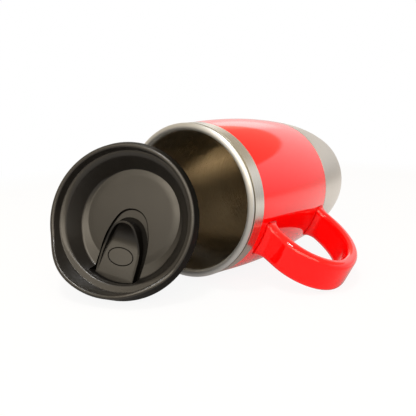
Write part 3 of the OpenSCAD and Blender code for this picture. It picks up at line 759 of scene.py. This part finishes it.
def strap_ring(share):
    """One ring as (through the strap, across it)."""
    deep = STRAP_T / 2 - STRAP_ROUND + FOOT_FLARE * share
    wide = STRAP_W / 2 - STRAP_ROUND + FOOT_SPREAD * share
    face = [wide * (1 - 2 * i / SIDE_N) for i in range(1, SIDE_N)]
    corners = []
    for q in range(4):
        mid = Vector((deep if q in (0, 3) else -deep, wide if q < 2 else -wide))
        corners.append([tuple(mid + STRAP_ROUND * Vector((math.cos(a), math.sin(a))))
                        for a in (math.pi / 2 * (q + i / CORNER_N) for i in range(CORNER_N + 1))])
    return (corners[0] + corners[1] + [(-deep - STRAP_ROUND, y) for y in face]
            + corners[2] + corners[3] + [(deep + STRAP_ROUND, -y) for y in face])


def on_sleeve(y, z):
    """Distance at which a point of a foot lies on the sleeve."""
    return math.sqrt((arc_r(SLEEVE_ARC, z) + FIT) ** 2 - y * y)


def placed_ring(place, normal, run, side):
    """One ring in its place, spread and bent onto the sleeve near a foot."""
    left = max(0.0, 1 - run / FLARE_LEN)
    lean = (normal * (1 - left) + Vector((0.0, side * left))).normalized()
    ring = []
    for through, across in strap_ring(1 - math.sqrt(1 - left * left)):
        z = place.y + through * lean.y
        plain = place.x + through * lean.x
        seated = on_sleeve(across, z) + run
        ring.append((plain * (1 - left * left) + seated * left * left, across, z))
    return ring


def seat_ring(ring, mid_z, share):
    """A smaller copy of a foot's ring, on the sleeve."""
    drawn = [(y * share, mid_z + (z - mid_z) * share) for _, y, z in ring]
    return [(on_sleeve(y, z), y, z) for y, z in drawn]


def handle_mesh():
    """Joins the rings and closes both feet."""
    strap = [placed_ring(*at) for at in centre_line()]
    rings = [seat_ring(strap[0], UPPER_FOOT_Z, s) for s in SEAT_SHARES] + strap
    rings += [seat_ring(strap[-1], LOWER_FOOT_Z, s) for s in reversed(SEAT_SHARES)]
    count = len(rings[0])
    points = [p for ring in rings for p in ring]
    points += [(on_sleeve(0.0, z), 0.0, z) for z in (UPPER_FOOT_Z, LOWER_FOOT_Z)]
    faces = []
    for k in range(len(rings) - 1):
        for i in range(count):
            j = (i + 1) % count
            faces.append((k * count + i, k * count + j, (k + 1) * count + j, (k + 1) * count + i))
    last = len(rings) * count
    for i in range(count):
        j = (i + 1) % count
        faces.append((last, j, i))
        faces.append((last + 1, last - count + i, last - count + j))
    turn = MUG_LAY.to_matrix() @ Matrix.Rotation(-HANDLE_ROLL, 3, "Z")
    mesh = bpy.data.meshes.new("strap_handle")
    mesh.from_pydata([turn @ (Vector(p) * MM) for p in points], [], faces)
    facing_out(mesh)
    return mesh


add_piece("strap_handle", handle_mesh(), RED, "mug", "handle")


# Lid: an outline carried round its axis, which changes with the angle from the drinking side

RIM_MID = RIM_R - RIM_W / 2
LID_TURNS = 240
SHARP_FROM = math.radians(38.0)


def reach_of(a, radius):
    """Distance from the lid's axis to a circle of the dish, which is set back from the drinking side."""
    aside = -DISC_BACK * math.cos(a)
    return aside + math.sqrt(aside ** 2 + radius ** 2 - DISC_BACK ** 2)


def rim_top(a):
    """Height of the rim, which climbs towards the drinking side."""
    climb = min(1.0, max(0.0, (RIM_MID * math.cos(a) - SPOUT_START) / SPOUT_RUN))
    return RIM_H + SPOUT_H * climb * climb * (3 - 2 * climb)


def lid_outline(a):
    """Dished top with a round shoulder inside the rim, then the rim, the flange and the plug."""
    top = rim_top(a)
    disc = reach_of(a, DISC_R)
    fall = DISC_FALL_MEAN + DISC_FALL_SWING * math.cos(a - DISC_FALL_TURN)
    tilt = math.radians(LEDGE_TILT)
    front = min(1.0, max(0.0, (math.cos(a) - FRONT_FADE[0]) / (FRONT_FADE[1] - FRONT_FADE[0])))
    flat = LEDGE + (FRONT_LEDGE - LEDGE) * front
    bend = SHOULDER + (FRONT_SHOULDER - SHOULDER) * front
    wall_tilt = WALL_TILT + (FRONT_WALL_TILT - WALL_TILT) * front
    middle = (
        RIM_FOOT_R - flat * math.cos(tilt) + bend * math.sin(tilt),
        -flat * math.sin(tilt) - bend * math.cos(tilt))
    shoulder = round_line(middle, bend, 90.0 + wall_tilt, 90.0 + LEDGE_TILT, 10)
    wall_foot = shoulder[0][0] - (shoulder[0][1] - CONE_TOP) / math.tan(math.radians(wall_tilt))
    return filleted([
        *(((disc - 2 * DISC_BORDER) * share, DISC_Z, 0.0) for share in DISC_RINGS),
        (disc - DISC_BORDER, DISC_Z, DISC_SOFT),
        (disc, DISC_Z - DISC_FALL * fall, max(DISC_EDGE, DISC_BLEND * (1.0 - fall))),
        (wall_foot, CONE_TOP, CONE_ROUND),
        *((r, z, 0.0) for r, z in shoulder),
        (RIM_FOOT_R, 0.0, 0.2),
        (RIM_R - RIM_W, top, RIM_W / 2),
        (RIM_R, top, RIM_W / 2),
        (FLANGE_R, FLANGE_T, 0.4),
        (FLANGE_R, 0.0, 0.25),
        (PLUG_R, 0.0, 0.3),
        (PLUG_R, GROOVE_TOP, 0.2),
        (GROOVE_R, GROOVE_TOP, 0.2),
        (GROOVE_R, GROOVE_LOW, 0.2),
        (PLUG_R, GROOVE_LOW, 0.2),
        (PLUG_R, UNDER_Z, 0.6),
        (PLUG_END_R, PLUG_Z, 0.5),
        (PLUG_END_R - PLUG_WALL, PLUG_Z, 0.5),
        (PLUG_END_R - PLUG_WALL, UNDER_Z, 1.0),
        (0.0, UNDER_Z, 0.0)], 5)


def in_lid(point):
    """A point of the lid's own frame, in millimetres, in the scene."""
    return (LID_LAY.to_matrix() @ Vector(point) + LID_PLACE) * MM


def lid_mesh():
    """Carries the lid's outline round its axis."""
    turns = [2 * math.pi * k / LID_TURNS for k in range(LID_TURNS)]
    lines = [[in_lid((r * math.sin(a), -r * math.cos(a), z)) for r, z in lid_outline(a)] for a in turns]
    count = len(lines[0])
    faces = []
    for k in range(LID_TURNS):
        here, after = k * count, (k + 1) % LID_TURNS * count
        faces += [(here + i, here + i + 1, after + i + 1, after + i) for i in range(count - 1)]
    mesh = bpy.data.meshes.new("lid_shell")
    mesh.from_pydata([p for line in lines for p in line], [], faces)
    facing_out(mesh)
    return mesh


def tongue(radius, end_y, half_w, wide_y, front_r):
    """Outline with an arched end, sides that swell to full width, and a front round the lid's axis."""
    rise = end_y - radius - wide_y
    side_r = (half_w ** 2 + rise ** 2 - radius ** 2) / (2 * (half_w - radius))
    turn = math.degrees(math.atan2(rise, side_r - half_w))
    side = round_line((half_w - side_r, wide_y), side_r, 0, turn)
    arch = round_line((0.0, end_y - radius), radius, turn, 180 - turn)
    corner = math.degrees(math.acos(half_w / front_r))
    front = round_line((0.0, 0.0), front_r, corner - 180, -corner)
    return front + side + arch[1:-1] + [(-x, y) for x, y in reversed(side)]


def stadium(mid_y, width, length):
    """Outline of a slot with round ends."""
    ends = (width - length) / 2
    return (round_line((ends, mid_y), length / 2, -90, 90, 16)
            + round_line((-ends, mid_y), length / 2, 90, 270, 16))


def prism(outline, low, high):
    """Closed block between two heights of the lid's own frame."""
    count = len(outline)
    points = [in_lid((x, y, z)) for z in (low, high) for x, y in outline]
    faces = [(i, (i + 1) % count, count + (i + 1) % count, count + i) for i in range(count)]
    faces += [tuple(reversed(range(count))), tuple(range(count, 2 * count))]
    mesh = bpy.data.meshes.new("cutter")
    mesh.from_pydata(points, [], faces)
    facing_out(mesh)
    return mesh


def ring_prism(outer, inner, low, high):
    """Closed ring between two outlines with equal counts and two heights of the lid's own frame."""
    count = len(outer)
    points = [in_lid((x, y, z)) for line in (outer, inner) for z in (low, high) for x, y in line]
    faces = []
    for i in range(count):
        j = (i + 1) % count
        loop = (0, count, 3 * count, 2 * count)
        for here, after in zip(loop, loop[1:] + loop[:1]):
            faces.append((here + i, here + j, after + j, after + i))
    mesh = bpy.data.meshes.new("cutter")
    mesh.from_pydata(points, [], faces)
    facing_out(mesh)
    return mesh


def cut_out(mesh, cutters):
    """Takes closed blocks out of a closed mesh."""
    stock = bpy.data.objects.new("stock", mesh)
    scene.collection.objects.link(stock)
    tools = []
    for cutter in cutters:
        tool = bpy.data.objects.new("tool", cutter)
        scene.collection.objects.link(tool)
        tools.append(tool)
        cut = stock.modifiers.new("cut", "BOOLEAN")
        cut.operation = "DIFFERENCE"
        cut.solver = "EXACT"
        cut.object = tool
    graph = bpy.context.evaluated_depsgraph_get()
    made = bpy.data.meshes.new_from_object(stock.evaluated_get(graph))
    for used in tools + [stock]:
        bpy.data.objects.remove(used)
    made.set_sharp_from_angle(angle=SHARP_FROM)
    return made


def lid_cutters():
    """Blocks of the slider's track, the drinking hole and the slot of the slider's post."""
    half_slot = POST_W / 2 + RUN
    back = POST_MID - POST_L / 2 - RUN
    ahead = back + POST_L + SLIDER_TRAVEL + 2 * RUN
    slot = [(-half_slot, back), (half_slot, back), (half_slot, ahead), (-half_slot, ahead)]
    track = tongue(TRACK_R, TRACK_END, TRACK_W / 2, TRACK_WIDE_Y, SLIDER_FRONT + RUN)
    inner = tongue(
        TRACK_R - EDGE_LINE, TRACK_END - EDGE_LINE, TRACK_W / 2 - EDGE_LINE, TRACK_WIDE_Y,
        SLIDER_FRONT + RUN - EDGE_LINE)
    well = tongue(TRACK_R, WELL_END, TRACK_W / 2 - RUN, TRACK_WIDE_Y, SLIDER_FRONT)
    hole = stadium(HOLE_MID, HOLE_W, HOLE_L)
    below = UNDER_Z - 1
    return [
        prism(track, TRACK_FLOOR, TRACK_TOP),
        ring_prism(track, inner, TRACK_FLOOR - WELL_DEPTH, TRACK_FLOOR + RUN),
        prism(well, TRACK_FLOOR - WELL_DEPTH, TRACK_TOP),
        prism(hole, below, TRACK_TOP),
        prism(slot, below, TRACK_TOP)]


UPRIGHT = 0.05
NEAR = 0.01
SKIRT_IN = 0.3
SKIRT_SIDE = 0.9
SKIRT_LOW = -0.1


def paint_shade_faces(mesh, chosen):
    """Gives a painted shade, a darker and less glossy copy of the plastic, to faces chosen by middle, outward
    side and corners in the lid's frame.
    """
    mesh.materials.append(SHADE_DARK)
    turn_back = LID_LAY.to_matrix().inverted()
    places = [turn_back @ (vertex.co / MM - LID_PLACE) for vertex in mesh.vertices]
    for face in mesh.polygons:
        corners = [places[i] for i in face.vertices]
        middle = turn_back @ (face.center / MM - LID_PLACE)
        if chosen(middle, turn_back @ face.normal, corners):
            face.material_index = 1


def in_track(middle, side):
    """True on the track's upright walls and in its well."""
    well = TRACK_FLOOR - WELL_DEPTH
    upright = abs(side.z) < UPRIGHT and well < middle.z < TRACK_TOP
    return middle.xy.length < DISH_R and (upright or abs(middle.z - well) < NEAR)


def on_skirt(middle, side):
    """True on the rim's outer wall."""
    return middle.xy.length > RIM_R - SKIRT_IN and side.xy.length > SKIRT_SIDE and middle.z > SKIRT_LOW


lid_shell = cut_out(lid_mesh(), lid_cutters())
shell = add_piece("lid_shell", lid_shell, DARK, "lid", "lid_body")
# Painted shade on the track's walls and well and on the rim's outer wall
paint_shade_faces(shell.data, lambda middle, side, corners: in_track(middle, side) or on_skirt(middle, side))


# Slider: the solid's own shape with softened moulded edges

SOLID_JOIN = 2e-6
FLAT_WITHIN = math.radians(0.4)
ROUND_FROM = math.radians(32.0)
THUMB_SIDE = 0.2
OVAL_INNER = 0.9
OVAL_OUTER = 1.1


def softened_mesh(node):
    """A merged copy of a solid, its flat faces joined again so that its edges can be rounded."""
    shape = bmesh.new()
    shape.from_mesh(NODES[node].data)
    bmesh.ops.remove_doubles(shape, verts=shape.verts, dist=SOLID_JOIN)
    bmesh.ops.dissolve_limit(shape, angle_limit=FLAT_WITHIN, verts=shape.verts, edges=shape.edges)
    for face in shape.faces:
        face.smooth = True
    mesh = bpy.data.meshes.new(node + "_soft")
    shape.to_mesh(mesh)
    shape.free()
    stale = mesh.attributes.get("custom_normal")
    if stale:
        mesh.attributes.remove(stale)
    return mesh


def softened_piece(name, node, material, body, width):
    """A piece with its solid's shape and small rounded edges."""
    piece = add_piece(name, softened_mesh(node), material, body, node)
    piece.modifiers.clear()
    edge = piece.modifiers.new("edges", "BEVEL")
    edge.limit_method = "ANGLE"
    edge.angle_limit = ROUND_FROM
    edge.width = width * MM
    edge.segments = 2
    even_normals(piece)
    return piece


def in_oval_line(corners):
    """True in the groove round the oval grip."""
    reach = [math.hypot(p.x / OVAL_R[0], (p.y - OVAL_MID) / OVAL_R[1]) for p in corners]
    return min(reach) > OVAL_INNER and 1.0 < max(reach) < OVAL_OUTER


thumb = softened_piece("thumb_slider", "slider", SLIDER_DARK, "slider", THUMB_EDGE)
# Painted shade on the slider's sides and in the groove round its oval grip
paint_shade_faces(thumb.data, lambda middle, side, corners: abs(side.z) < THUMB_SIDE or in_oval_line(corners))

for node, material in (
    ("handle_screws", SCREW_STEEL),
    ("slider_seal", SILICONE),
    ("slider_clip", SLIDER_DARK),
):
    NODES[node].data.materials.clear()
    NODES[node].data.materials.append(material)


# Stage: pale floor, white surround and soft lamps

ROOM = (0.60, 0.51, 0.38)
SWEEP = (1.0, 0.985, 0.96)
SWEEP_TOP = math.sin(math.radians(24.2))
SWEEP_LOW_LEVEL = 0.70
SWEEP_TOP_LEVEL = 1.3
SWEEP_SOFT = 0.015
SWEEP_BEHIND = (-0.2, 0.4)
CORNER = Vector((-0.40, 0.85, 0.37)).normalized()
CORNER_LEVEL = 0.65
CORNER_SPREAD = (math.cos(math.radians(11.0)), math.cos(math.radians(4.0)))
FLOOR_HALF = 3.0
FLOOR_GRAIN = 14.0
FLOOR_PAINT = ((0.88, 0.88, 0.88), (0.86, 0.86, 0.86))
FLOOR_SEEN = 0.9
FLOOR_WHITE_FROM = (0.16, 0.50)
FLOOR_MIRRORED = 0.8
FLOOR_FADE = (-0.14, 0.08)
FLOOR_FADE_FAR = (0.12, 0.60)
FLOOR_FAR_DROP = 0.5
# In reflections the floor shows a painted shade in front of the part and a painted glow behind it
FLOOR_MIRROR_SHADE = (0.30, 0.28, 0.26)
FLOOR_MIRROR_GLOW = (1.15, 1.12, 1.08)
WHITE = (1.0, 1.0, 1.0)
WARM = (1.0, 0.89, 0.72)
MIDDLE = (0.0, -0.08, 0.0)
SENSOR = 36.0
LENS = 51.92
CAMERA_PLACE = Vector((182.78, -380.225, 72.585))
CAMERA_LOOK = Vector((-0.5523, 0.8039, -0.2207))


def eased(tree, value, low, high):
    """Rises smoothly from nothing to one as a value goes from low to high."""
    made = put(tree, "ShaderNodeMapRange", {
        "Value": value, "From Min": low, "From Max": high}, interpolation_type="SMOOTHSTEP")
    return made.outputs["Result"]


def make_floor():
    """White to the camera with the part's shadow; in reflections, a painted shade in front of the part and a
    painted glow behind it, dimmer far behind.
    """
    mesh = bpy.data.meshes.new("floor")
    sides = ((-1, -1), (1, -1), (1, 1), (-1, 1))
    corners = [(x * FLOOR_HALF, y * FLOOR_HALF, FLOOR_Z * MM) for x, y in sides]
    mesh.from_pydata(corners, [], [(0, 1, 2, 3)])
    floor = bpy.data.objects.new("floor", mesh)
    scene.collection.objects.link(floor)
    material = bpy.data.materials.new("pale_floor")
    material.use_nodes = True
    tree = material.node_tree
    tree.nodes.clear()
    out = tree.nodes.new("ShaderNodeOutputMaterial")
    path = tree.nodes.new("ShaderNodeLightPath")
    mirrored = math_node(tree, "MAXIMUM", path.outputs["Is Glossy Ray"], path.outputs["Is Transmission Ray"])
    place = tree.nodes.new("ShaderNodeTexCoord").outputs["Object"]
    grain = put(tree, "ShaderNodeTexNoise", {"Vector": place, "Scale": FLOOR_GRAIN, "Detail": 3.0})
    matte = put(tree, "ShaderNodeBsdfDiffuse", {"Color": tint(tree, grain.outputs[0], *FLOOR_PAINT)})
    parts = put(tree, "ShaderNodeSeparateXYZ", {0: place})
    # Painted shade and glow seen only in reflections of the floor
    back = eased(tree, parts.outputs[1], *FLOOR_FADE)
    white = put(tree, "ShaderNodeEmission", {"Color": (*WHITE, 1.0), "Strength": 1.0})
    far = eased(tree, parts.outputs[1], *FLOOR_FADE_FAR)
    level = math_node(tree, "SUBTRACT", back, math_node(tree, "MULTIPLY", far, FLOOR_FAR_DROP))
    dim = put(tree, "ShaderNodeEmission", {
        "Color": tint(tree, level, FLOOR_MIRROR_SHADE, FLOOR_MIRROR_GLOW), "Strength": 1.0})
    away = put(tree, "ShaderNodeVectorMath", {0: place}, operation="LENGTH")
    rest = spread(tree, eased(tree, away.outputs["Value"], *FLOOR_WHITE_FROM), FLOOR_SEEN, 1.0)
    white_share = math_node(tree, "MULTIPLY", path.outputs["Is Camera Ray"], rest)
    seen = put(tree, "ShaderNodeMixShader", {0: white_share, 1: matte.outputs[0], 2: white.outputs[0]})
    dim_share = math_node(tree, "MULTIPLY", mirrored, FLOOR_MIRRORED)
    both = put(tree, "ShaderNodeMixShader", {0: dim_share, 1: seen.outputs[0], 2: dim.outputs[0]})
    tree.links.new(both.outputs[0], out.inputs[0])
    mesh.materials.append(material)


def make_world():
    """White to the camera. A white sweep behind the part, below a dimmer warm room, lights it."""
    world = bpy.data.worlds.new("studio")
    scene.world = world
    world.use_nodes = True
    tree = world.node_tree
    tree.nodes.clear()
    out = tree.nodes.new("ShaderNodeOutputWorld")
    path = tree.nodes.new("ShaderNodeLightPath")
    look = tree.nodes.new("ShaderNodeTexCoord").outputs["Generated"]
    parts = put(tree, "ShaderNodeSeparateXYZ", {0: look})
    behind = eased(tree, parts.outputs[1], *SWEEP_BEHIND)
    above = eased(tree, parts.outputs[2], SWEEP_TOP - SWEEP_SOFT, SWEEP_TOP + SWEEP_SOFT)
    sweep = math_node(tree, "MULTIPLY", behind, math_node(tree, "SUBTRACT", 1.0, above))
    climb = spread(tree, parts.outputs[2], SWEEP_LOW_LEVEL - 1.0, SWEEP_TOP_LEVEL - 1.0, 0.0, SWEEP_TOP)
    near = put(tree, "ShaderNodeVectorMath", {0: look, 1: CORNER}, operation="DOT_PRODUCT").outputs["Value"]
    corner = eased(tree, near, *CORNER_SPREAD)
    level = math_node(tree, "ADD", 1.0, math_node(tree, "MULTIPLY", sweep, climb))
    level = math_node(tree, "ADD", level, math_node(tree, "MULTIPLY", corner, CORNER_LEVEL))
    seen = put(tree, "ShaderNodeBackground", {"Color": (*WHITE, 1.0), "Strength": 1.0})
    lit = put(tree, "ShaderNodeBackground", {"Color": tint(tree, sweep, ROOM, SWEEP), "Strength": level})
    mix = put(tree, "ShaderNodeMixShader", {
        0: path.outputs["Is Camera Ray"], 1: lit.outputs[0], 2: seen.outputs[0]})
    tree.links.new(mix.outputs[0], out.inputs[0])


def add_lamp(name, place, size, power, colour):
    """A soft lamp that points at the middle of the part."""
    data = bpy.data.lights.new(name, "AREA")
    data.shape = "RECTANGLE"
    data.size, data.size_y = size
    data.energy = power
    data.color = colour
    lamp = bpy.data.objects.new(name, data)
    scene.collection.objects.link(lamp)
    lamp.location = place
    lamp.rotation_mode = "QUATERNION"
    lamp.rotation_quaternion = (Vector(MIDDLE) - Vector(place)).to_track_quat("-Z", "Y")


def make_camera():
    """The camera of the perspective fit."""
    data = bpy.data.cameras.new("camera")
    data.sensor_width = SENSOR
    data.lens = LENS
    data.clip_start, data.clip_end = 0.01, 20.0
    camera = bpy.data.objects.new("camera", data)
    scene.collection.objects.link(camera)
    camera.location = CAMERA_PLACE * MM
    camera.rotation_mode = "QUATERNION"
    camera.rotation_quaternion = CAMERA_LOOK.to_track_quat("-Z", "Y")
    scene.camera = camera


make_camera()
make_floor()
make_world()
add_lamp("key_lamp", place=(0.57, -0.81, 0.60), size=(1.3, 0.6), power=6.8, colour=WARM)
add_lamp("front_lamp", place=(0.04, -1.08, 0.60), size=(0.8, 0.5), power=1.5, colour=WARM)
add_lamp("top_lamp", place=(0.08, -0.44, 0.81), size=(0.15, 0.15), power=3.2, colour=WHITE)
scene.view_settings.view_transform = "Standard"
